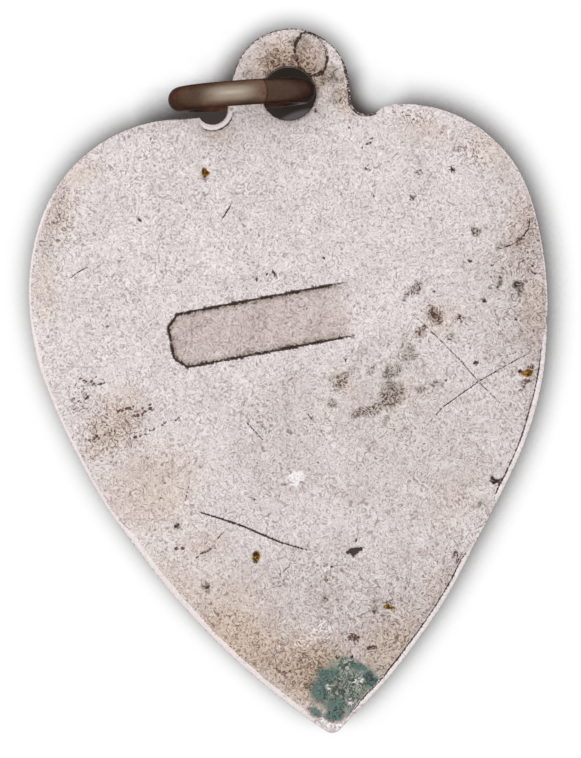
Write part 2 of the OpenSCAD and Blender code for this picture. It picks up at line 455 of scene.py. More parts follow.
def ring_edges(ring):
    """The edges between neighbours of a ring, in their order along it."""
    members = set(ring)
    touching = dict.fromkeys(edge for vertex in ring for edge in vertex.link_edges)
    return [edge for edge in touching if set(edge.verts) <= members]


def next_ring(bm, ring, place):
    """Extrudes a ring of edges and puts each new vertex where place says for its number."""
    made = bmesh.ops.extrude_edge_only(bm, edges=ring_edges(ring))["geom"]
    step = bm.verts.layers.int["step"]
    fresh = {part[step]: part for part in made if isinstance(part, bmesh.types.BMVert)}
    for order, vertex in fresh.items():
        vertex.co = place(order)
    return [fresh[order] for order in range(len(ring))]


def new_drawing(wear_names=()):
    """An empty bmesh whose vertices hold a number and some wear values, with the layers' handles."""
    bm = bmesh.new()
    bm.verts.layers.int.new("step")
    return bm, {name: bm.verts.layers.float.new(name) for name in wear_names}


bm, layers = new_drawing()
ring = draw_ring(bm, plate_turns(), 0)
spread = [max(v.co[axis] for v in ring) - min(v.co[axis] for v in ring) for axis in (0, 2)]
print("outline:", len(ring), "points,", [round(s, 2) for s in spread], "mm")
bm.free()

# %% [markdown]
# An old back is read by its wear, so the marks come before the mesh. All of them are read off the
# picture, so they are written in its pixels and turned into millimetres. Sizes of small marks
# are in millimetres. Lines come first: scratches, and rows of short brown dashes where something
# rough was dragged over the metal.

# %% Scratches and dashes
# A scratch is the points it runs through, its half width in mm, and how dark it is.
scratches = {
    "long, under the middle": (
        [(193, 510), (225, 520), (245, 527), (263, 535), (282, 543), (311, 551)], 0.045, 1.0,
    ),
    "falling, on the right": (
        [(410, 311), (437, 337), (460, 360), (478, 381), (496, 399), (513, 416)], 0.03, 0.75,
    ),
    "rising, on the right": (
        [(422, 431), (443, 407), (478, 382), (500, 369), (527, 354), (543, 347)], 0.03, 0.7,
    ),
    "short, by the right pit": ([(494, 357), (508, 355), (523, 350)], 0.025, 0.5),
    "falling, by the right pit": ([(511, 370), (512, 380), (524, 396)], 0.022, 0.45),
    "upright, on the left": ([(190, 455), (189, 485), (182, 513)], 0.025, 0.6),
    "steep, above the middle": ([(222, 219), (231, 205)], 0.035, 0.9),
    "low, on the far left": ([(69, 279), (78, 272), (88, 267)], 0.03, 0.7),
    "first of a pair": ([(246, 422), (264, 441)], 0.032, 0.8),
    "second of a pair": ([(251, 417), (271, 434)], 0.028, 0.65),
    "falling, in the middle": ([(303, 408), (325, 436)], 0.03, 0.65),
    "rising, low on the left": ([(225, 531), (212, 544)], 0.03, 0.7),
    "rising, low in the middle": ([(290, 566), (271, 582)], 0.025, 0.55),
    "curl at the right edge": ([(530, 217), (529, 228), (524, 235), (518, 242)], 0.04, 0.75),
    "tail of that curl": ([(518, 242), (505, 247), (497, 249)], 0.05, 0.6),
    "first arm of a star": ([(488, 481), (502, 482)], 0.05, 1.0),
    "second arm of a star": ([(492, 478), (501, 485)], 0.04, 0.9),
    "third arm of a star": ([(501, 478), (492, 485)], 0.04, 0.9),
    "low, on the right": ([(413, 561), (409, 585), (404, 596)], 0.03, 0.4),
}
# A row of dashes is its two ends, how many dashes it has, their half width in mm and how dark they are.
dash_rows = [
    ((116, 412), (134, 407), 4, 0.06, 1.0), ((132, 418), (157, 408), 6, 0.06, 1.0),
    ((141, 409), (153, 406), 3, 0.05, 0.8), ((88, 442), (114, 430), 7, 0.055, 0.85),
    ((134, 439), (182, 415), 10, 0.05, 0.8), ((78, 380), (100, 386), 6, 0.055, 0.85),
    ((79, 403), (91, 395), 3, 0.05, 0.8), ((170, 551), (186, 546), 5, 0.05, 0.9),
    ((196, 557), (212, 548), 6, 0.05, 0.8), ((96, 378), (106, 383), 3, 0.05, 0.7),
    ((360, 149), (376, 137), 4, 0.05, 0.9),
]
dash_across = 1.6
dash_up = 0.7
dash_stray = 3.5
dash_fineness = 0.37
dash_shifts = (0, 30, 60)
dash_vary = 0.6
dashes = []
for row, (start, stop, count, half, dark) in enumerate(dash_rows):
    for order in range(count):
        x, y = Vector(start).lerp(Vector(stop), (order + 0.5) / count)
        stray = [noise.noise(Vector((x, y, row + shift)) * dash_fineness) for shift in dash_shifts]
        x += dash_stray * stray[0]
        y += dash_stray * stray[1]
        ends = [(x - dash_across, y + dash_up), (x + dash_across, y - dash_up)]
        dashes.append((ends, half, dark * (1 + dash_vary * stray[2])))
print(len(scratches), "scratches,", len(dashes), "dashes")

# %% [markdown]
# Next come specks and zones: places painted darker, stains of brown tarnish and soot, a patch of green
# corrosion, places rubbed bright, and pits where the surface has gone through, with painted shade on
# their rims and painted highlights in some of them. Each zone is a soft oval, and where several lie
# over each other the strongest counts.

# %% Specks and zones
# A speck is its place in the picture and its radius in mm.
dark_specks = [
    (138, 220, 0.11), (56, 258, 0.08), (107, 263, 0.06), (107, 278, 0.06), (153, 138, 0.06),
    (83, 159, 0.05), (108, 327, 0.07), (262, 230, 0.07), (262, 238, 0.06), (256, 206, 0.06),
    (256, 212, 0.07), (276, 228, 0.05), (277, 240, 0.06), (292, 220, 0.07), (323, 259, 0.09),
    (329, 255, 0.05), (277, 266, 0.07), (273, 273, 0.09), (267, 274, 0.09), (257, 279, 0.1),
    (246, 289, 0.09), (313, 267, 0.05), (375, 195, 0.08), (350, 130, 0.08), (315, 111, 0.1),
    (300, 178, 0.06), (448, 139, 0.06), (413, 198, 0.08), (453, 170, 0.09), (442, 220, 0.06),
    (448, 268, 0.06), (460, 236, 0.06), (470, 261, 0.13), (493, 266, 0.09), (509, 266, 0.07),
    (533, 266, 0.1), (535, 274, 0.08), (535, 254, 0.08), (516, 320, 0.14), (460, 316, 0.11),
    (484, 299, 0.1), (468, 299, 0.06), (436, 291, 0.07), (475, 362, 0.1), (492, 363, 0.06),
    (470, 348, 0.06), (446, 380, 0.08), (344, 359, 0.08), (393, 347, 0.06), (206, 502, 0.06),
    (276, 470, 0.07), (292, 470, 0.06), (371, 648, 0.11), (324, 622, 0.07), (324, 597, 0.09),
    (329, 580, 0.08), (209, 586, 0.1), (486, 507, 0.09), (231, 451, 0.06), (178, 527, 0.13),
    (165, 483, 0.06), (160, 498, 0.07), (133, 408, 0.09), (178, 417, 0.06), (88, 398, 0.08),
    (98, 385, 0.08), (316, 462, 0.06), (325, 458, 0.06), (321, 467, 0.06), (285, 484, 0.07),
    (268, 492, 0.06), (300, 493, 0.07), (254, 500, 0.06), (262, 497, 0.05), (310, 470, 0.06),
    (279, 498, 0.06),
]
# A zone is its middle, its half length and half width in pixels, its tilt in degrees and its strength.
zones = {
    # Places painted darker: the right side, the bottom and the rubbed places at the left edge.
    "dull": [
        (560, 290, 150, 260, 0, 0.7), (400, 640, 300, 190, 0, 0.62), (330, 700, 120, 90, 0, 0.5),
        (410, 450, 210, 190, 0, 0.45), (45, 215, 45, 90, 0, 0.6), (125, 430, 80, 40, 30, 0.2),
        (300, 90, 230, 60, 0, 0.3), (370, 380, 80, 80, 40, 0.3), (290, 75, 70, 55, 0, 0.6),
        (285, 440, 120, 130, 0, 0.46), (310, 585, 130, 90, 0, 0.56),
    ],
    # Brown tarnish, mostly round the edge and above the tip.
    "tan": [
        (150, 490, 100, 80, 40, 0.46), (115, 425, 74, 44, 60, 0.5), (60, 215, 32, 64, -15, 0.36),
        (45, 290, 24, 62, 0, 0.4), (80, 175, 42, 30, 40, 0.4), (245, 640, 130, 62, -32, 0.7),
        (310, 672, 96, 64, -20, 0.8), (392, 648, 76, 52, 45, 0.6), (180, 590, 100, 44, -45, 0.42),
        (235, 600, 90, 56, -40, 0.42), (490, 150, 44, 34, -45, 0.4), (525, 225, 30, 76, -12, 0.38),
        (535, 310, 26, 80, 0, 0.4), (430, 130, 56, 26, -15, 0.35), (290, 70, 66, 54, 0, 0.85),
        (440, 590, 44, 28, 55, 0.34), (350, 95, 28, 40, 0, 0.6), (455, 500, 60, 36, 55, 0.3),
        (220, 135, 36, 22, 0, 0.35), (205, 545, 44, 34, 0, 0.4), (440, 320, 36, 30, 40, 0.4),
        (345, 385, 20, 30, 20, 0.4), (400, 395, 40, 26, 40, 0.3),
    ],
    # Soot and dirt that sit in the strokes.
    "soot": [
        (476, 231, 8, 7, 0, 1.0), (518, 242, 8, 6, 20, 1.0), (500, 247, 10, 5, 15, 0.9),
        (499, 282, 5, 12, -8, 0.95), (519, 285, 8, 7, 0, 1.0), (520, 292, 5, 6, 0, 1.0),
        (435, 316, 10, 18, 30, 1.0), (421, 330, 12, 7, 50, 0.85), (451, 336, 7, 6, 0, 0.85),
        (459, 317, 5, 5, 0, 0.9), (416, 288, 13, 5, 35, 0.85), (405, 297, 8, 4, 50, 0.8),
        (410, 354, 9, 16, -20, 0.75), (404, 340, 8, 14, -25, 0.6), (392, 372, 17, 10, 30, 0.85),
        (384, 392, 46, 34, 30, 0.34), (391, 394, 18, 20, 20, 0.95), (376, 407, 18, 9, 30, 0.75),
        (341, 381, 9, 17, -25, 0.85), (332, 405, 7, 8, 40, 0.9), (359, 413, 13, 6, 15, 0.9),
        (385, 421, 10, 6, 50, 0.8), (420, 390, 8, 7, 0, 0.85), (437, 385, 8, 5, 0, 0.8),
        (371, 370, 9, 5, 50, 0.8), (362, 353, 9, 6, 30, 0.5), (352, 372, 5, 12, -20, 0.6),
        (330, 378, 9, 4, 30, 0.7), (140, 413, 24, 6, 22, 0.35), (102, 436, 20, 6, 24, 0.35),
        (88, 383, 13, 6, -9, 0.5), (375, 608, 4, 8, 0, 0.8), (208, 587, 5, 9, 0, 0.9),
        (524, 383, 7, 5, 0, 0.7), (178, 527, 6, 6, 0, 0.9), (480, 503, 14, 6, 20, 0.6),
        (330, 75, 20, 15, -20, 0.8), (301, 42, 16, 12, 0, 0.8), (250, 75, 15, 11, 0, 0.7),
        (272, 58, 18, 10, 30, 0.6), (336, 97, 9, 12, 0, 0.7), (338, 657, 6, 5, 0, 1.0),
        (350, 656, 6, 6, 0, 1.0), (361, 665, 8, 6, -40, 1.0), (311, 687, 7, 6, 0, 1.0),
        (319, 671, 6, 5, -40, 1.0), (356, 637, 7, 4, 30, 0.9), (371, 648, 5, 4, 0, 1.0),
        (346, 662, 14, 7, 0, 0.9), (344, 684, 54, 46, 0, 0.9), (324, 597, 6, 10, 0, 0.7),
        (290, 640, 16, 6, 30, 0.4),
    ],
    # Reddish brown that has settled in the strokes, and a few spots of it.
    "rust": [
        (112, 430, 80, 66, 35, 0.5), (78, 400, 34, 44, 0, 0.45), (150, 495, 66, 56, 40, 0.26),
        (60, 220, 36, 84, -12, 0.4), (525, 240, 36, 116, -5, 0.42), (475, 150, 44, 38, -45, 0.42),
        (412, 118, 50, 22, -10, 0.42), (465, 560, 116, 84, 55, 0.38), (330, 630, 140, 64, 0, 0.28),
        (285, 62, 66, 50, 0, 0.52), (345, 95, 24, 34, 0, 0.5), (235, 600, 116, 76, -40, 0.26),
        (352, 637, 8, 5, 30, 1.0), (372, 648, 7, 5, 0, 1.0), (453, 170, 5, 6, 0, 0.9),
        (418, 172, 5, 5, 0, 0.7), (368, 170, 5, 5, 0, 0.7), (453, 552, 6, 6, 0, 0.9),
        (460, 562, 5, 7, 30, 0.9), (413, 198, 4, 6, 30, 0.9), (521, 372, 4, 4, 0, 1.0),
        (531, 367, 3, 5, -30, 1.0), (535, 367, 3, 3, 0, 0.9), (528, 380, 4, 3, 0, 1.0),
        (525, 385, 3, 3, 0, 0.9), (521, 390, 3, 3, 0, 0.7), (436, 313, 11, 18, 30, 0.6),
        (421, 331, 15, 9, 50, 0.55), (412, 290, 18, 8, 35, 0.6), (370, 410, 22, 9, 30, 0.6),
        (340, 384, 11, 18, -25, 0.55), (392, 394, 20, 18, 20, 0.45), (460, 318, 8, 8, 0, 0.6),
        (404, 350, 12, 22, -20, 0.4),
    ],
    # Grey-green crust above the tip, and the teal in it.
    "crust": [
        (345, 688, 56, 48, 20, 1.0), (346, 664, 17, 12, 0, 1.0), (325, 688, 14, 20, 0, 1.0),
        (371, 680, 12, 10, -40, 1.0), (337, 713, 14, 9, 0, 1.0), (314, 715, 9, 6, -40, 0.8),
        (356, 714, 12, 5, 50, 0.9),
    ],
    "verdigris": [
        (343, 687, 46, 38, 15, 0.3), (320, 690, 13, 19, 0, 0.66), (330, 673, 16, 8, 15, 0.75),
        (335, 705, 16, 11, 0, 0.66), (371, 680, 14, 8, -40, 0.8), (358, 667, 14, 7, -20, 0.7),
        (315, 712, 14, 7, -40, 0.7), (356, 714, 15, 6, 50, 0.8), (334, 718, 15, 8, 0, 0.7),
    ],
    # Places rubbed bright, and painted highlights in some of the pits.
    "bare": [
        (298, 478, 14, 11, 20, 1.0), (323, 631, 18, 14, 30, 0.7), (303, 641, 19, 9, 25, 0.68),
        (449, 136, 1.8, 9.5, 0, 1.0), (449, 162, 1.8, 9.5, 0, 0.9), (281, 648, 5, 3, 0, 0.8),
        (327, 724, 12, 6, -30, 1.0), (340, 728, 9, 5, 20, 1.0), (200, 620, 110, 8, -44, 0.6),
        (90, 470, 84, 6, -62, 0.6), (212, 127, 24, 6, 0, 0.7), (205, 178, 12, 12, 0, 0.4),
        (329, 687, 6, 6, 30, 0.75), (358, 681, 10, 5, 15, 0.75), (349, 668, 3, 7, 20, 0.7),
        (352, 704, 8, 8, 0, 0.75), (210, 171, 3, 4, 0, 1.0), (254, 563, 6, 2, 0, 0.8),
        (390, 611, 6, 2, 0, 0.8), (328, 569, 5, 3, 0, 0.9), (247, 426, 12, 3, -45, 0.7),
        (355, 394, 12, 6, 30, 0.6),
    ],
    # Four small pits that have gone yellow.
    "gold": [
        (206, 174, 6, 7, 0, 1.0), (527, 373, 7, 4, 10, 0.9), (256, 555, 7, 7.5, 0, 1.0),
        (390, 606, 8, 3.5, 0, 1.0),
    ],
    # Black pits, and painted shade on the rims of the yellow ones.
    "cut": [
        (351, 655, 3, 2.5, 60, 0.5), (254, 552, 4, 3, 0, 0.9), (203, 172, 2, 5, -15, 0.6),
        (206, 180, 5, 2, 0, 0.6), (520, 372, 2.5, 3.5, 0, 0.7), (531, 365, 2, 5, -30, 0.5),
        (255, 561, 5, 2, 0, 0.6), (388, 602, 6, 2, 0, 0.7), (354, 551, 6, 5, 10, 1.9),
        (348, 553, 3, 2.5, 0, 1.5), (353, 556, 2, 3, 0, 1.0), (359, 549, 3, 3, 0, 1.5),
        (356, 539, 5, 1.5, 70, 0.7), (324, 565, 3, 2, 0, 0.8), (333, 567, 3.5, 2, 0, 0.8),
        (492, 481, 5, 2.5, -20, 1.0), (499, 482, 6, 1.5, -45, 0.8), (499, 481, 6, 1.5, 45, 0.7),
        (519, 284, 5, 4, 0, 0.7), (499, 282, 4, 11, -8, 0.6), (476, 231, 7, 6, 0, 0.5),
    ],
}
print(len(dark_specks), "specks,", sum(len(ovals) for ovals in zones.values()), "zones")

# %% [markdown]
# A mark acts on the metal by how far away it is. So these helpers measure, for many places at once,
# how deep inside an oval a place lies, and how far it is from a line or from a point. Small ovals get
# a firmer edge than large ones.

# %% Distance to a mark
firm_zone = 27
soft_edge = 1.15
firm_edge = 1.8


def smooth(share):
    """A soft step from 0 to 1."""
    share = np.clip(share, 0, 1)
    return share * share * (3 - 2 * share)


def along_across(places, pixel, tilt):
    """How far in mm places lie along and across a tilted line through a place in the picture."""
    offset = places - np.array(on_plate(pixel))
    spin = math.radians(tilt) - lean
    along = offset[:, 0] * math.cos(spin) + offset[:, 1] * math.sin(spin)
    across = offset[:, 1] * math.cos(spin) - offset[:, 0] * math.sin(spin)
    return along, across


def inside_zone(places, zone):
    """How far places, in mm, lie inside a soft oval: its strength in the middle and 0 at its edge."""
    x, y, long, wide, tilt, strength = zone
    along, across = along_across(places, (x, y), tilt)
    reach = np.hypot(along * pixels_per_mm / long, across * pixels_per_mm / wide)
    edge = firm_edge if max(long, wide) < firm_zone else soft_edge
    return strength * smooth(edge * (1 - reach))


def from_line(places, points):
    """Distance in mm from places to a line through picture points, and the share of the way along it."""
    route = [np.array(on_plate(point)) for point in points]
    lengths = [np.linalg.norm(b - a) for a, b in zip(route, route[1:])]
    nearest = np.full(len(places), np.inf)
    share = np.zeros(len(places))
    for order, (a, b) in enumerate(zip(route, route[1:])):
        part = np.clip((places - a) @ (b - a) / lengths[order] ** 2, 0, 1)
        gap = np.linalg.norm(places - a - part[:, None] * (b - a), axis=1)
        closer = gap < nearest
        nearest[closer] = gap[closer]
        share[closer] = (sum(lengths[:order]) + part[closer] * lengths[order]) / sum(lengths)
    return nearest, share


def from_place(places, pixel):
    """Distance in mm from places to one place in the picture."""
    return np.linalg.norm(places - np.array(on_plate(pixel)), axis=1)


scratch_start = scratches["long, under the middle"][0][0]
scratch_gap = float(from_place(np.zeros((1, 2)), scratch_start)[0])
print("the long scratch starts", round(scratch_gap, 1), "mm from the hole")

# %% [markdown]
# A plain punch was struck into the middle of the back, and a small oval one into the eye. The large
# one left a shallow tray with a cut-off left end, which runs out to nothing on the right, as it does
# when a punch is held askew. Each tray is a few straight or round walls, so inside and outside are
# told by distance.

# %% Struck panel
panel_start = on_plate((170, 343))
panel_angle = 6.7
panel_half = 1.28
panel_corner = 0.55
panel_depth = 0.1
panel_wall = 0.07
panel_full = 7.4
panel_end = 9.3
oval_centre = (311, 54)
oval_half = (1.08, 0.78)
oval_tilt = 104
oval_depth = 0.06
oval_wall = 0.12

panel_axis = toward(panel_angle)
panel_up = toward(panel_angle + 90)
corner_reach = (panel_half - panel_corner) / math.sqrt(2)
panel_sides = [
    (panel_up, panel_half),
    (-panel_up, panel_half),
    (-panel_axis, 0),
    ((-panel_axis + panel_up) / math.sqrt(2), corner_reach),
    ((-panel_axis - panel_up) / math.sqrt(2), corner_reach),
]


def inside_panel(places):
    """Distance in mm inside the panel's walls, and how much of its depth is left there."""
    offset = places - np.array(panel_start)
    depth_in = np.min([reach - offset @ np.array(out) for out, reach in panel_sides], axis=0)
    left = 1 - smooth((offset @ np.array(panel_axis) - panel_full) / (panel_end - panel_full))
    return depth_in, left


def inside_oval(places):
    """Distance in mm inside the oval on the eye, negative outside."""
    along, across = along_across(places, oval_centre, oval_tilt)
    return (1 - np.hypot(along / oval_half[0], across / oval_half[1])) * oval_half[1]


print("panel from", [round(c, 2) for c in panel_start], "mm, at", panel_angle, "degrees")

# %% [markdown]
# The edge of the plate was filed by hand. Along parts of it a narrow bright strip shows, parted from
# the flat back by a dark line, and in places the soft metal was pressed out a little. So each point of
# the outline gets a strip of its own: how wide it is, how deep its groove, how much it shines, which is
# partly filed metal and partly a painted highlight, and how much painted shade lies on it at the eye.

# %% Back plate: filed strips
plain_strip = 0.05
strip_fade = 1.2
strip_vary = (0.85, 0.3)
strip_fineness = 0.9
press_fade = 3
notch_near = 1.1
notch_sweep = (-150, 12, 30)
notch_strip = 0.15
notch_shine = 1.2
eye_side = 0.6
# How dark the painted shade is along the eye's edge and round the hole; at the neck neck_line widens it.
eye_dark = 0.75
neck_line = 0.1
neck_reach = (-1.7, 1.6)
neck_fade = 0.8
edge_wobble = 0.025
wobble_fineness = 0.7
# Each nick: its place in the picture, its radius and its depth.
nicks = [((549, 320), 0.2, 0.1), ((382, 105), 0.45, 0.13)]
nick_soft = 1.2
# Each filed strip: its side, from and to which Z in mm, its width, its groove's depth, its shine, and how
# far the soft metal was pressed out there.
Strip = namedtuple("Strip", "side low high width groove shine pressed")
filed_strips = [
    Strip(1, -20.0, -11.6, 0.14, 1.0, 0.85, 0.08),
    Strip(1, -29.2, -21.0, 0.11, 1.1, 0.85, 0.14),
    Strip(-1, -12.8, -3.2, 0.06, 0.45, 1.0, 0),
    Strip(-1, -21.0, -9.5, 0.1, 0, 1.0, 0.11),
    Strip(-1, -29.5, -19.0, 0.22, 0, 1.0, 0),
]


def window(value, low, high, fade):
    """1 between low and high, fading to 0 over fade inside each end."""
    return float(smooth((value - low) / fade) * smooth((high - value) / fade))


def strip_share(strip, place, fade):
    """How much of a filed strip there is at a point of the outline."""
    return window(place.z, strip.low, strip.high, fade) if place.x * strip.side > 0 else 0


def filed_at(place):
    """Width of the filed strip, depth share of its groove, shine, and painted shade at the eye, at a point of
    the outline.
    """
    width, groove, shine = plain_strip, 0, 0
    vary = strip_vary[0] + strip_vary[1] * noise.noise(place * strip_fineness)
    for strip in filed_strips:
        share = strip_share(strip, place, strip_fade)
        width += share * strip.width * vary
        groove = max(groove, share * strip.groove)
        shine = max(shine, share * strip.shine)
    from_notch = Vector((place.x + notch_centre.x, place.z - notch_centre.y))
    if from_notch.length < notch_r * notch_near:
        share = window(angle_of(from_notch), *notch_sweep)
        width += share * notch_strip
        groove = max(groove, share)
        shine = max(shine, share * notch_shine)
    at_eye = place.z > neck_reach[0] and abs(place.x) < notch_centre.x + eye_side * notch_r
    neck = window(place.z, *neck_reach, neck_fade) if at_eye and place.x > 0 else 0
    return width + neck_line * neck, groove, shine, eye_dark * at_eye * (1 - groove)


def worn_in(place):
    """How far a point of the outline has moved in by wear and nicks, less what was pressed out."""
    worn = edge_wobble * (0.5 + 0.5 * noise.noise(place * wobble_fineness))
    for pixel, nick_r, nick_depth in nicks:
        gap = (Vector((place.x, place.z)) - on_plate(pixel)).length
        worn += nick_depth * float(smooth(nick_soft - gap / nick_r))
    for strip in filed_strips:
        worn -= strip.pressed * strip_share(strip, place, press_fade)
    return worn


print(len(filed_strips), "filed strips,", len(nicks), "nicks")

# %% [markdown]
# The outline is drawn once, and rings of edges are extruded from it: inwards over the strip and its
# groove to the flat back, and forwards down the wall to the front. Each vertex keeps its number on the
# outline, and so knows how wide its strip is. A real bevel has one width, which is why the rings are
# placed one by one.

# %% Back plate: edge
edge_round = 0.07
edge_dark = 0.8
shine_pale = 0.5
shine_lift = 0.4
strip_slope = 0.2
dark_reach = 0.18
crest_in = (0.35, 0.15)
crest_drop = (0.02, 0.05)
lip_depth = 0.006
lip_shine = 0.7
groove_w = 0.12
groove_least = 0.3
groove_depth = 0.08
groove_dark = (0.95, 0.4)
groove_fineness = 1.3

wear_names = (*zones, "floor", "rim")
plate, layers = new_drawing(wear_names)
outline = draw_ring(plate, plate_turns(), back_y + edge_round)
before = outline[-1:] + outline[:-1]
after = outline[1:] + outline[:1]
inward = []
for earlier, later in zip(before, after):
    along = (later.co - earlier.co).normalized()
    inward.append(Vector((along.z, 0, -along.x)))
edge_places = [vertex.co + worn_in(vertex.co) * into for vertex, into in zip(outline, inward)]
strips = [filed_at(place) for place in edge_places]
for vertex, place, (width, groove, shine, dark) in zip(outline, edge_places, strips):
    vertex.co = place
    vertex.co.y = back_y + edge_round * (1 - shine_lift * min(shine, 1)) + strip_slope * (width - plain_strip)


def edge_at(order, inset, y):
    """A point of the outline moved in by inset, at a given Y."""
    point = edge_places[order] + inset * inward[order]
    point.y = y
    return point


def strip_profile(width, groove, shine, dark):
    """Inset and Y of the rings from the outline inwards: the strip's crest, its lip, its groove, the back."""
    crest = crest_in[0] - crest_in[1] * min(shine, 1)
    half_groove = 0.5 * groove_w * (groove_least + groove)
    return {
        "strip": (crest * width, back_y + crest_drop[0] + crest_drop[1] * width),
        "lip": (width, back_y + lip_depth * (1 + groove)),
        "groove": (width + half_groove, back_y + groove_depth * groove),
        "back": (width + 2 * half_groove, back_y),
    }


profiles = [strip_profile(*strip) for strip in strips]
ring = outline
edge_rings = {}
for name in profiles[0]:
    ring = next_ring(plate, ring, lambda order: edge_at(order, *profiles[order][name]))
    edge_rings[name] = ring
below = next_ring(plate, outline, lambda order: edge_at(order, 0, back_y + dark_reach))
wall = next_ring(plate, below, lambda order: edge_at(order, 0, front_y - edge_round))
front_ring = next_ring(plate, wall, lambda order: edge_at(order, edge_round, front_y))
# Values for the material: a dark line in the groove, a line of painted shade along the outline where the
# strip does not shine, and on the strip and lip their shine, partly a painted highlight, with painted shade
# at the eye.
for order, (width, groove, shine, dark) in enumerate(strips):
    broken = groove_dark[0] + groove_dark[1] * noise.noise(edge_places[order] * groove_fineness)
    edge_rings["groove"][order][layers["cut"]] = groove * broken
    outline[order][layers["cut"]] = edge_dark * max(0, 1 - shine_pale * shine)
    for name, share in (("strip", 1), ("lip", lip_shine)):
        edge_rings[name][order][layers["rim"]] = shine * share
        edge_rings[name][order][layers["cut"]] = dark
print("edge:", len(outline), "points, widest strip", round(max(strip[0] for strip in strips), 2), "mm")

# %% [markdown]
# The hole is a short round wall with broken edges. It starts as a circle, and its rings are extruded
# the same way, backwards and forwards.

# %% Back plate: hole
hole_points = 72


def hole_at(r, y):
    """Where the points of one ring of the hole go."""
    return lambda order: Vector((
        r * math.cos(2 * math.pi * order / hole_points), y, r * math.sin(2 * math.pi * order / hole_points),
    ))


circle = bmesh.ops.create_circle(plate, segments=hole_points, radius=hole_r, matrix=upright)["verts"]
for order, vertex in enumerate(number_ring(plate, circle)):
    vertex.co = hole_at(hole_r, back_y + edge_round)(order)
hole_back = next_ring(plate, circle, hole_at(hole_r + edge_round, back_y))
hole_wall = next_ring(plate, circle, hole_at(hole_r, front_y - edge_round))
# The edge round the hole is painted dark, as shade.
for vertex in circle + hole_wall:
    vertex[layers["cut"]] = 1
for vertex in hole_back:
    vertex[layers["cut"]] = eye_dark
hole_front = next_ring(plate, hole_wall, hole_at(hole_r + edge_round, front_y))
bmesh.ops.triangle_fill(plate, edges=ring_edges(front_ring) + ring_edges(hole_front), use_beauty=True)
print("hole:", round(2 * hole_r, 2), "mm across")

# %% [markdown]
# The flat back has to carry dents, pits and scratches as real shape, so it needs many small faces.
# A grid is laid over it, what reaches past the edge is deleted, and the narrow gap that is left is
# filled with triangles. The grid is divided again only where a mark is, and cut along the panel's
# walls, so that these come out crisp.

# %% Back plate: flat back
cell = 0.15
margin = 0.1
finer = 3
level = 1e-5
scratch_margin = 0.7 * cell
speck_margin = 0.5 * cell
small_zone = 10
cut_margin = 0.3
cut_tolerance = 1e-4
hole_near = hole_r + edge_round + 3 * cell
span_x = plate_high.x - plate_low.x
span_z = plate_high.z - plate_low.z
grid_place = Matrix.Translation(((plate_high.x + plate_low.x) / 2, back_y, (plate_high.z + plate_low.z) / 2))
grid_shape = Matrix.Diagonal((span_x, 1, span_z, 1)) @ upright
grid = bmesh.ops.create_grid(
    plate, x_segments=round(span_x / cell), y_segments=round(span_z / cell), size=0.5,
    matrix=grid_place @ grid_shape,
)["verts"]


def search_tree(points):
    """A tree that finds the nearest of some points and its number."""
    found = kdtree.KDTree(len(points))
    for order, point in enumerate(points):
        found.insert(point, order)
    found.balance()
    return found


rim_tree = search_tree([vertex.co for vertex in edge_rings["back"]])


def on_flat(vertex):
    """Whether a grid vertex lies on the flat back, clear of its edges."""
    near, order, gap = rim_tree.find(vertex.co)
    clear = (vertex.co - near).dot(inward[order]) > margin
    return clear and math.hypot(vertex.co.x, vertex.co.z) > hole_r + edge_round + margin


bmesh.ops.delete(plate, geom=[vertex for vertex in grid if not on_flat(vertex)], context="VERTS")
flat = [vertex for vertex in grid if vertex.is_valid]
loose = [vertex for vertex in flat if not vertex.link_faces]
bmesh.ops.delete(plate, geom=loose, context="VERTS")
flat_faces = dict.fromkeys(face for vertex in flat if vertex.is_valid for face in vertex.link_faces)


def lies_flat(part):
    """Whether a face or an edge lies at the back's level."""
    return all(abs(vertex.co.y - back_y) < level for vertex in part.verts)


def place_array(points):
    """X and Z of points, as rows of an array."""
    return np.array([(point.x, point.z) for point in points])


def near_mark(places):
    """Whether places lie close to a scratch, a speck, a small zone or the oval's wall."""
    found = np.abs(inside_oval(places)) < cell
    for points, half, dark in [*scratches.values(), *dashes]:
        found |= from_line(places, points)[0] < half + scratch_margin
    for x, y, r in dark_specks:
        found |= from_place(places, (x, y)) < r + speck_margin
    for zone in sum(zones.values(), []):
        if max(zone[2], zone[3]) < small_zone:
            found |= inside_zone(places, zone) > 0
    return found


flat_edges = list(dict.fromkeys(edge for face in flat_faces for edge in face.edges))
middles = place_array([(edge.verts[0].co + edge.verts[1].co) / 2 for edge in flat_edges])
marked = [edge for edge, close in zip(flat_edges, near_mark(middles)) if close]
bmesh.ops.subdivide_edges(plate, edges=marked, cuts=finer, use_grid_fill=True)

for out, reach in panel_sides:
    for inset in (0, panel_wall):
        flat_faces = [face for face in plate.faces if lies_flat(face)]
        offsets = place_array([face.calc_center_median() for face in flat_faces]) - np.array(panel_start)
        along = offsets @ np.array(panel_axis)
        across = offsets @ np.array(panel_up)
        close = (along > -cut_margin) & (along < panel_end) & (np.abs(across) < panel_half + cut_margin)
        cut_faces = [face for face, take in zip(flat_faces, close) if take]
        cut_parts = dict.fromkeys(part for face in cut_faces for part in (face, *face.edges, *face.verts))
        point = panel_start + out * (reach - inset)
        bmesh.ops.bisect_plane(
            plate, geom=list(cut_parts), dist=cut_tolerance,
            plane_co=(point.x, back_y, point.y), plane_no=(out.x, 0, out.y),
        )
open_edges = [edge for edge in plate.edges if edge.is_boundary and lies_flat(edge)]
edge_sets = {True: [], False: []}
for edge in open_edges:
    midpoint = (edge.verts[0].co + edge.verts[1].co) / 2
    edge_sets[math.hypot(midpoint.x, midpoint.z) < hole_near].append(edge)
for edges in edge_sets.values():
    bmesh.ops.triangle_fill(plate, edges=edges, use_beauty=True)
print("flat back:", len(plate.faces), "faces,", sum(e.is_boundary for e in plate.edges), "open edges")
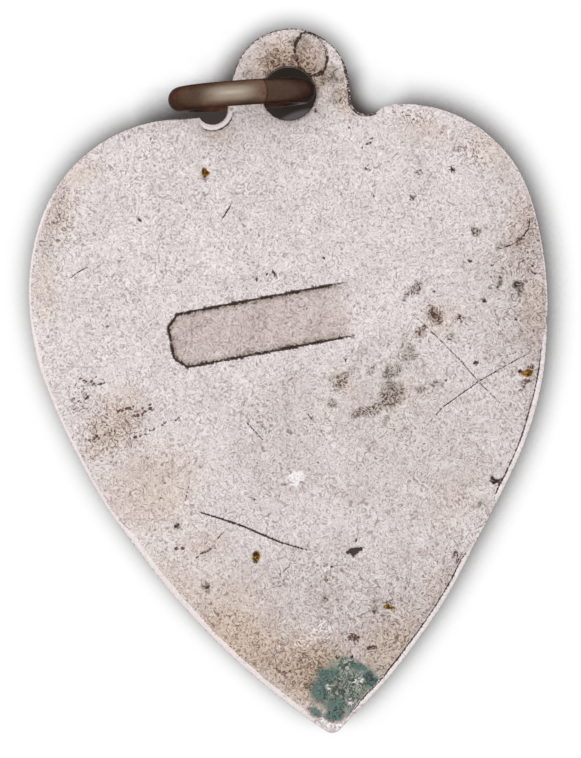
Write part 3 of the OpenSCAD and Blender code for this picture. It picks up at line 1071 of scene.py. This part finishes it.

# %% [markdown]
# Now the marks become shape and stain. Every vertex of the flat back sinks, and none rises, because
# wear takes metal away. The same pass writes how much tan, soot, green and so on lies at each vertex,
# and also the painted shade and highlights of the pits. The material reads these values later, so that
# stain and dent always sit together.

# %% Back plate: dents and wear values
dent_depth = 0.015
dent_fineness = 0.3
grain_depth = 0.012
grain_fineness = 2
pit_depth = {"gold": 0.05, "cut": 0.09}
mark_soft = 1.4
scratch_depth = 0.05
scratch_dark = 1.5
break_share = (0.9, 0.4)
break_fineness = 3
taper_end = 0.02
taper_power = 0.3
speck_depth = 0.04
speck_least = 0.6
speck_more = 5
brown_speck = 0.085
floor_grain = 0.03
floor_fineness = 2.5
floor_tan = 0.25
corner_dirt = 0.45
panel_line = 1.85
oval_line = 1.7
oval_dirt = 0.7
oval_break = (0.85, 0.3)
oval_fineness = 0.9
# Marks are frayed by noise: how far in mm, and how fine per mm.
frays = [(0.12, 3.5), (0.16, 1.4)]
flat = [vertex for vertex in plate.verts if abs(vertex.co.y - back_y) < level]
places = place_array([vertex.co for vertex in flat])
wear = {name: np.zeros(len(flat)) for name in wear_names}


def ripple(per_mm, seed):
    """Noise of a given fineness at every place of the flat back, about -1 to 1."""
    return np.array([noise.noise(Vector((x * per_mm, seed, z * per_mm))) for x, z in places])


def deepen(name, mask):
    """Raises one wear value to a mask where the mask is stronger."""
    wear[name] = np.maximum(wear[name], mask)


def wall_line(inside, wall, dark):
    """A dark line along the wall of a tray, from the distance inside it."""
    return smooth(dark - np.abs(2 * inside / wall - 1))


frayed = places.copy()
for far, per_mm in frays:
    frayed += far * np.column_stack([ripple(per_mm, 7), ripple(per_mm, 8)])
for name, ovals in zones.items():
    for zone in ovals:
        deepen(name, inside_zone(frayed, zone))
depth = dent_depth * (0.5 + 0.5 * ripple(dent_fineness, 1))
depth += grain_depth * (0.5 + 0.5 * ripple(grain_fineness, 2))
for name, deep in pit_depth.items():
    depth += deep * smooth(2 * wear[name])
broken = break_share[0] + break_share[1] * ripple(break_fineness, 3)
for name, lines in (("cut", scratches.values()), ("rust", dashes)):
    for points, half, dark in lines:
        gap, share = from_line(places, points)
        taper = np.sin(math.pi * np.clip(share, taper_end, 1 - taper_end)) ** taper_power
        groove = smooth(mark_soft - gap / half) * dark * taper
        depth += scratch_depth * groove
        deepen(name, scratch_dark * groove * broken)
for x, y, r in dark_specks:
    spot = smooth(mark_soft - from_place(frayed, (x, y)) / r)
    depth += speck_depth * spot
    strength = min(1, speck_least + speck_more * r)
    deepen("cut" if r > brown_speck else "rust", strength * spot * broken)
depth_in, left = inside_panel(places)
tray = np.clip(depth_in / panel_wall, 0, 1) * left
depth += tray * (panel_depth + floor_grain * ripple(floor_fineness, 4))
deepen("floor", tray)
deepen("tan", floor_tan * tray)
deepen("soot", tray * smooth(1 - depth_in / corner_dirt))
deepen("cut", wall_line(depth_in, panel_wall, panel_line) * left)
oval_in = inside_oval(places)
tray = np.clip(oval_in / oval_wall, 0, 1)
depth += tray * (oval_depth + floor_grain * ripple(floor_fineness, 5))
deepen("floor", oval_dirt * tray)
deepen("soot", oval_dirt * tray * smooth(1 - oval_in / corner_dirt))
oval_broken = oval_break[0] + oval_break[1] * ripple(oval_fineness, 6)
deepen("cut", wall_line(oval_in, oval_wall, oval_line) * oval_broken)
for vertex, sunk in zip(flat, depth):
    vertex.co.y = back_y + max(0, sunk)
for name, values in wear.items():
    for vertex, value in zip(flat, values):
        vertex[layers[name]] = value
print("deepest dent:", round(float(depth.max()), 3), "mm; cut on", int((wear["cut"] > 0.5).sum()), "vertices")

# %% [markdown]
# Silver sheet that was rolled, pickled and then worn for years is not a mirror. It is pale and slightly
# pink, with a skin of fine curled strokes, and it scatters light widely. Tarnish goes over it in layers:
# brown where sweat stayed, grey soot that sits in the strokes, green corrosion of the copper in the
# alloy. So a finish here is a list of layers. Each one lies where a wear value of the mesh puts it, is
# broken up by a pattern of the skin, and tints or covers what is below it. The brass of the ring is
# made the same way, so one function serves all four pieces.

# %% Aged metal
# The real strokes are finer than a pixel, so they are drawn as coarse as the picture shows them.
# Each pattern: its size in mm, its detail and its distortion. A strong distortion makes the curls.
skin_patterns = {
    "clouds": (1.6, 3, 0.3),
    "ragged": (0.5, 4, 0.8),
    "strokes": (0.27, 0.5, 3.0),
}
TINT = "MULTIPLY"
COVER = "MIX"
cloud_range = (0.3, 0.7)
mineral_range = (0.2, 0.6)
skin_height = 0.02
skin_strength = 0.25


def aged_metal(name, base, layers, rough, metal=1.0, mineral=None, edge="#FFFFFF"):
    """A metal under layers of wear, with a range of roughness and, if named, a value where it is mineral."""
    material, tree = new_material(name)
    place = add(tree, "ShaderNodeMapping", {
        "Vector": add(tree, "ShaderNodeTexCoord", {}, "Object"), "Scale": [1 / MM] * 3,
    })
    skin = {}
    for title, (size_mm, detail, twist) in skin_patterns.items():
        skin[title] = add(tree, "ShaderNodeTexNoise", {
            "Vector": place, "Scale": 1 / size_mm, "Detail": detail, "Distortion": twist,
        })
    colour = linear(base)
    for wear_name, least, more, pattern, low, high, cover, blend, paint in layers:
        amount = add(tree, "ShaderNodeMath", {0: skin[pattern], 1: more, 2: least}, operation="MULTIPLY_ADD")
        if wear_name:
            value = add(tree, "ShaderNodeAttribute", {}, "Fac", attribute_name=wear_name)
            amount = add(tree, "ShaderNodeMath", {0: amount, 1: value}, operation="MULTIPLY")
        mask = add(tree, "ShaderNodeMapRange", {
            0: amount, 1: low, 2: high, 4: cover,
        }, interpolation_type="SMOOTHSTEP")
        colour = add(tree, "ShaderNodeMix", {
            0: mask, 6: colour, 7: linear(paint),
        }, 2, data_type="RGBA", blend_type=blend)
    if mineral:
        crusted = add(tree, "ShaderNodeAttribute", {}, "Fac", attribute_name=mineral)
        metal = add(tree, "ShaderNodeMapRange", {
            0: crusted, 1: mineral_range[0], 2: mineral_range[1], 3: metal, 4: 0,
        })
    surface = add(tree, "ShaderNodeBsdfPrincipled", {
        "Base Color": colour,
        "Metallic": metal,
        "Specular Tint": linear(edge),
        "Roughness": add(tree, "ShaderNodeMapRange", {
            0: skin["clouds"], 1: cloud_range[0], 2: cloud_range[1], 3: rough[0], 4: rough[1],
        }),
        "Normal": add(tree, "ShaderNodeBump", {
            "Height": skin["strokes"], "Strength": skin_strength, "Distance": skin_height * MM,
        }),
    })
    add(tree, "ShaderNodeOutputMaterial", {"Surface": surface})
    return material


finest = min(size for size, detail, twist in skin_patterns.values())
print(len(skin_patterns), "patterns, the finest", finest, "mm")

# %% [markdown]
# The back's own layers follow, from the metal up. A layer is its wear value, or None for the whole
# surface, then how much of it there is where its pattern is black, how much the pattern adds, where it
# starts and is full, its cover, whether it tints or covers, and its colour. The strokes come first, then
# the places painted darker, tan and soot, in which the strokes turn brown and black. Crust, yellow pits,
# bright places and cuts lie on top. Some of the bright places are painted highlights in the pits, the
# filed strips' shine is partly a painted highlight, and the cuts include painted shade along the edge,
# round the hole, at the eye and on the rims of the pits.

# %% Worn silver sheet
silver_white = "#F2EDED"
silver_skin = [
    (None, 1, -1, "strokes", 0.15, 0.85, 1, TINT, "#CDC3C2"),
    (None, 1, -1, "strokes", 0.55, 0.85, 0.45, TINT, "#8E7E7B"),
    (None, 0, 1, "clouds", 0.35, 0.7, 0.15, TINT, "#DCD4D2"),
    # The places painted darker, with darker strokes in them.
    ("dull", 0.85, 0.3, "clouds", 0, 1, 0.9, TINT, "#E8E4E1"),
    ("tan", 0.6, 0.8, "ragged", 0, 1, 0.8, TINT, "#E9D6BA"),
    ("dull", 1, -1, "strokes", 0.18, 0.68, 0.62, TINT, "#9A8D89"),
    ("tan", 1, -1, "strokes", 0.25, 0.75, 0.8, TINT, "#8E6C50"),
]
back_marks = [
    ("soot", 0.5, 1, "ragged", 0, 1, 0.6, TINT, "#BDB8AB"),
    ("soot", 1.2, -1.2, "strokes", 0.3, 0.85, 0.8, TINT, "#5E5046"),
    ("floor", 0.7, 0.6, "ragged", 0.1, 1.1, 0.5, TINT, "#D6CCC9"),
    ("rust", 2.0, -2.3, "strokes", 0.25, 0.85, 0.9, COVER, "#62403A"),
    ("crust", 0.3, 1.4, "ragged", 0.3, 0.75, 0.9, COVER, "#939A90"),
    ("crust", 0, 1.2, "strokes", 0.55, 0.85, 0.6, COVER, "#C0C4BC"),
    ("crust", 1.2, -1.2, "strokes", 0.35, 0.85, 0.8, TINT, "#52645C"),
    ("verdigris", -0.4, 2.5, "strokes", 0.2, 0.85, 0.9, COVER, "#6D9B94"),
    ("verdigris", 1, -1, "strokes", 0.15, 0.75, 1, TINT, "#44605A"),
    ("gold", -0.1, 1.8, "strokes", 0.2, 0.55, 1, COVER, "#B08C42"),
    ("gold", 0, 1.3, "ragged", 0.6, 0.85, 0.7, COVER, "#DCCB92"),
    ("gold", 1.4, -1.3, "strokes", 0.3, 0.8, 0.95, TINT, "#6E4A28"),
    # Places rubbed bright, and painted highlights in the pits.
    ("bare", 0.1, 1.5, "strokes", 0.45, 0.95, 0.85, COVER, "#F8F4F3"),
    # The shine of the filed strips: partly filed metal, partly a painted highlight.
    ("rim", 0.7, 0.6, "strokes", 0.15, 1, 0.85, COVER, "#F2EAE9"),
    # Cuts and black pits, with painted shade along the edge, round the hole, at the eye and on the pits'
    # rims.
    ("cut", 1.8, -1.6, "strokes", 0.3, 0.85, 0.95, COVER, "#413029"),
]
back_silver = aged_metal(
    "worn silver sheet, painted shade and highlights", silver_white, silver_skin + back_marks, (0.52, 0.58), mineral="verdigris",
)


def finish_piece(bm, name, material, body, node):
    """Turns a bmesh in mm into a piece that replaces a node and rides on its body."""
    bmesh.ops.recalc_face_normals(bm, faces=bm.faces)
    piece = mesh_object(bm, name, material)
    piece.data.shade_smooth()
    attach(piece, body)
    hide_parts(node)
    print(name, "has", len(piece.data.polygons), "faces")
    return piece


finish_piece(plate, "worn_back_plate", back_silver, "heart", "back_plate")

# %% [markdown]
# The jump ring is round wire bent into a circle, cut once and closed again with pliers, so its two ends
# never quite meet. A circle of edges is spun round the ring's middle and stops short of a full turn. Its
# ends are extruded in small steps that shrink, which breaks their edges. Then one end is pulled out a
# little and the other pushed in, and the wire gets shallow dents.

# %% Jump ring
ring_centre = Vector(((ring_low.x + ring_high.x) / 2, (ring_low.y + ring_high.y) / 2, 0))
wire_r = ring_high.z
ring_r = (ring_high.x - ring_low.x) / 2 - wire_r
cut_angle = math.radians(-69)
end_round = 0.04
end_steps = 4
end_gap = 0.005
end_near = 1.5 * wire_r
body_gap = (end_gap + 2 * end_round) / ring_r
wire_sides = 32
ring_steps = 180
pulled_out = 0.06
pushed_in = 0.12
bent_turn = 0.45
wire_dent = 0.03
wire_fineness = 0.8
# Where the wire is rubbed paler under a painted highlight, and where it is painted black as shade:
# from and to how many degrees past the cut, and the fade.
rub_sweep = (-62, 3, 28)
rub_from = 0.4
rub_power = 3
soot_sweep = (-8, 70, 8)
soot_from = 0.6

ring_mesh, ring_layers = new_drawing(("rub", "soot"))
profile_place = (
    Matrix.Translation(ring_centre) @ Matrix.Rotation(cut_angle + body_gap / 2, 4, "Z")
    @ Matrix.Translation((ring_r, 0, 0)) @ upright
)
bmesh.ops.create_circle(ring_mesh, segments=wire_sides, radius=wire_r, matrix=profile_place)
bmesh.ops.spin(
    ring_mesh, geom=list(ring_mesh.edges) + list(ring_mesh.verts), cent=ring_centre, axis=(0, 0, 1),
    angle=2 * math.pi - body_gap, steps=ring_steps,
)


def round_end(angle, side):
    """Closes one end of the wire. The end lies at an angle round the ring, and side is 1 or -1 along it."""
    centre = ring_centre + ring_r * Vector((math.cos(angle), math.sin(angle), 0))
    ahead = side * Vector((-math.sin(angle), math.cos(angle), 0))
    near = [edge for edge in ring_mesh.edges if (edge.verts[0].co - centre).length < end_near]
    edges = [edge for edge in near if edge.is_boundary]
    radius, reached = wire_r, 0
    for step in range(1, end_steps + 1):
        bend = math.pi / 2 * step / end_steps
        made = bmesh.ops.extrude_edge_only(ring_mesh, edges=edges)["geom"]
        verts = [part for part in made if isinstance(part, bmesh.types.BMVert)]
        edges = [part for part in made if isinstance(part, bmesh.types.BMEdge) and part.is_boundary]
        smaller = wire_r - end_round * (1 - math.cos(bend))
        about = Matrix.Translation(-centre - reached * ahead)
        bmesh.ops.scale(ring_mesh, verts=verts, vec=[smaller / radius] * 3, space=about)
        bmesh.ops.translate(ring_mesh, verts=verts, vec=(end_round * math.sin(bend) - reached) * ahead)
        radius, reached = smaller, end_round * math.sin(bend)
    bmesh.ops.holes_fill(ring_mesh, edges=edges, sides=0)


round_end(cut_angle + body_gap / 2, -1)
round_end(cut_angle - body_gap / 2, 1)
for vertex in ring_mesh.verts:
    offset = vertex.co - ring_centre
    angle = math.atan2(offset.y, offset.x)
    turned = (angle - cut_angle) % (2 * math.pi)
    out = Vector((math.cos(angle), math.sin(angle), 0))
    outer = (offset.dot(out) - ring_r) / wire_r
    before_cut = float(smooth(1 - (2 * math.pi - turned) / bent_turn))
    after_cut = float(smooth(1 - turned / bent_turn))
    dent = wire_dent * (0.5 + 0.5 * noise.noise(vertex.co * wire_fineness))
    vertex.co += out * (pulled_out * before_cut - pushed_in * after_cut - dent)
    from_cut = math.degrees(turned) - 360
    # The rubbed value paints a pale band along the wire's outer middle, partly rubbed metal and partly a
    # painted highlight; the soot value paints the wire past the cut dark, as shade.
    rubbed = float(smooth((outer - rub_from) / (1 - rub_from))) ** rub_power
    vertex[ring_layers["rub"]] = window(from_cut, *rub_sweep) * rubbed
    vertex[ring_layers["soot"]] = window(from_cut + 360, *soot_sweep) * float(smooth(soot_from + outer))
print("ring:", len(ring_mesh.faces), "faces,", sum(e.is_boundary for e in ring_mesh.edges), "open edges")

# %% [markdown]
# Brass wire left to itself goes brown, with red where copper shows and olive where it has begun to turn
# green. It stays smoother than the silver, so it takes a soft highlight. On one side of the cut the chain
# has rubbed it paler, and there a pale band along the wire's outer middle is also a painted highlight. On
# the other side the wire is painted nearly black as shade.

# %% Tarnished brass wire
brass_layers = [
    (None, 0, 1, "clouds", 0.45, 0.62, 0.7, COVER, "#54473A"),
    (None, 0, 1, "ragged", 0.54, 0.72, 0.6, COVER, "#5E3528"),
    (None, 1, -1, "strokes", 0.4, 0.9, 0.5, TINT, "#A58F7C"),
    # A painted highlight over metal rubbed paler.
    ("rub", 0.7, 0.6, "clouds", 0, 1.1, 0.72, COVER, "#B4A899"),
    # Painted shade: the wire past the cut nearly black.
    ("soot", 0.6, 0.8, "ragged", 0.1, 1, 0.7, COVER, "#473730"),
]
brown = aged_metal("tarnished brass wire, painted highlight and shade", "#735A4C", brass_layers, (0.3, 0.4), metal=0.9, edge="#6A5A4C")
finish_piece(ring_mesh, "tarnished_jump_ring", brown, "ring", "jump_ring")

# %% [markdown]
# The front was pressed from thinner sheet into a low dome and soldered round its rim to the back. It
# grows ring by ring: up the rim, flat under the border, and then as smaller and smaller copies of the
# last ring up the dome. Light dents from the press are left in it, and it is darkest beside the
# border, where polishing never reached.

# %% Front shell
front_inset = shell_low.x - plate_low.x
dome_inset = 1.95
rim_round = 0.06
foot_rise = 0.05
foot_run = 4 * foot_rise
dome_rings = 26
dome_centre = Vector(((plate_low.x + plate_high.x) / 2, 0, -12.5))
dome_square = 2.4
press_dent = 0.02
press_fineness = 0.5
dirt_from = 0.82
dirt_gain = 5.5
front_tan = (0.3, 0.4)
tan_fineness = 0.3


def route_of(turns, y):
    """The points of an outline, drawn on a sheet of its own."""
    guide = new_drawing()[0]
    points = [vertex.co.copy() for vertex in draw_ring(guide, turns, y)]
    guide.free()
    return points


shell, shell_layers = new_drawing(("soot", "tan"))
foot = draw_ring(shell, front_turns(front_inset), front_y)
rim_shape = [
    (front_inset, rim_y - rim_round), (front_inset + rim_round, rim_y),
    (dome_inset - foot_run, rim_y), (dome_inset, rim_y + foot_rise),
]
ring = foot
for inset, y in rim_shape:
    route = route_of(front_turns(inset), y)
    ring = next_ring(shell, ring, route.__getitem__)
    for vertex in ring:
        vertex[shell_layers["soot"]] = 1
dome_foot = route
for step in range(1, dome_rings):
    share = 1 - step / dome_rings
    rise = (dome_y - rim_y - foot_rise) * (1 - share ** dome_square)
    lift = Vector((0, rise, 0))
    flat_centre = Vector((dome_centre.x, dome_foot[0].y, dome_centre.z))
    ring = next_ring(shell, ring, lambda order: flat_centre.lerp(dome_foot[order], share) + lift)
    for vertex in ring:
        vertex[shell_layers["soot"]] = float(smooth((share - dirt_from) * dirt_gain))
        vertex[shell_layers["tan"]] = front_tan[0] + front_tan[1] * noise.noise(vertex.co * tan_fineness)
        vertex.co.y -= press_dent * (0.5 + 0.5 * noise.noise(vertex.co * press_fineness))
bmesh.ops.holes_fill(shell, edges=ring_edges(ring), sides=0)
bmesh.ops.triangle_fill(shell, edges=ring_edges(foot), use_beauty=True)
print("front shell: dome", round(dome_y - rim_y, 2), "mm high,", len(shell.faces), "faces")
rim_dirt = ("soot", 0.6, 0.6, "ragged", 0, 1, 0.9, TINT, "#8A8178")
front_silver = aged_metal("pressed silver sheet, worn", silver_white, silver_skin + [rim_dirt], (0.42, 0.55))
finish_piece(shell, "pressed_front_shell", front_silver, "heart", "front_shell")

# %% [markdown]
# The border is two round wires twisted together, rolled a little flat and soldered round the rim of
# the front. Its middle line comes first: the front's outline moved in once more, with points at even
# steps and the way outwards at each of them.

# %% Border wire: middle line
border_half = 0.4
border_inset = border_low.x - plate_low.x + border_half
lay_pitch = 1.6
lay_points = 14

route = route_of(front_turns(border_inset), (rim_y + border_y) / 2)
route.append(route[0])
lengths = np.cumsum([0] + [(b - a).length for a, b in zip(route, route[1:])])
turns_round = round(lengths[-1] / lay_pitch)
points_round = turns_round * lay_points
even = np.linspace(0, lengths[-1], points_round, endpoint=False)
line = np.column_stack([np.interp(even, lengths, [p[axis] for p in route]) for axis in range(3)])
ahead = np.roll(line, -1, axis=0) - np.roll(line, 1, axis=0)
ahead /= np.linalg.norm(ahead, axis=1)[:, None]
outwards = np.column_stack([-ahead[:, 2], np.zeros(points_round), ahead[:, 0]])
print("border:", round(float(lengths[-1]), 1), "mm long,", turns_round, "twists")

# %% [markdown]
# Each wire is a curve that winds round that middle line, because a curve with a round bevel is the
# plainest way to make wire. It is then made a mesh and pressed flat at its top, its foot and its sides,
# as the rolls would do. Dirt stays in the grooves between the wires.

# %% Border wire: strands
strands = 2
strand_r = 0.27
strand_rounding = 3
lay_r = 0.24
groove_reach = lay_r + 0.6 * strand_r
groove_fade = 0.5 * strand_r
forwards = np.array((0, 1, 0))

border, border_layers = new_drawing(("soot", "tan"))
for strand in range(strands):
    twist = 2 * math.pi * (np.arange(points_round) / lay_points + strand / strands)
    wound = line + lay_r * (np.cos(twist)[:, None] * outwards + np.sin(twist)[:, None] * forwards)
    wire = bpy.data.curves.new("strand", "CURVE")
    wire.dimensions = "3D"
    wire.bevel_depth = strand_r
    wire.bevel_resolution = strand_rounding
    spline = wire.splines.new("POLY")
    spline.points.add(points_round - 1)
    spline.points.foreach_set("co", np.column_stack([wound, np.ones(points_round)]).ravel())
    spline.use_cyclic_u = True
    strand_object = bpy.data.objects.new("strand", wire)
    strand_mesh = bpy.data.meshes.new_from_object(strand_object)
    border.from_mesh(strand_mesh)
    bpy.data.objects.remove(strand_object)
    bpy.data.curves.remove(wire)
    bpy.data.meshes.remove(strand_mesh)
line_tree = search_tree(line)
for vertex in border.verts:
    near, order, gap = line_tree.find(vertex.co)
    out = Vector(outwards[order])
    side = (vertex.co - near).dot(out)
    vertex[border_layers["soot"]] = float(smooth((groove_reach - gap) / groove_fade))
    vertex.co += out * (max(-border_half, min(border_half, side)) - side)
    vertex.co.y = max(rim_y, min(border_y, vertex.co.y))
groove_dirt = [
    (None, 1, -1, "strokes", 0.15, 0.85, 1, TINT, "#CDC3C2"),
    ("soot", 0.6, 0.8, "ragged", 0.2, 1, 0.9, COVER, "#4A423C"),
]
border_silver = aged_metal("rolled silver wire, dark in its grooves", silver_white, groove_dirt, (0.4, 0.5))
finish_piece(border, "twisted_border_wire", border_silver, "heart", "border_wire")
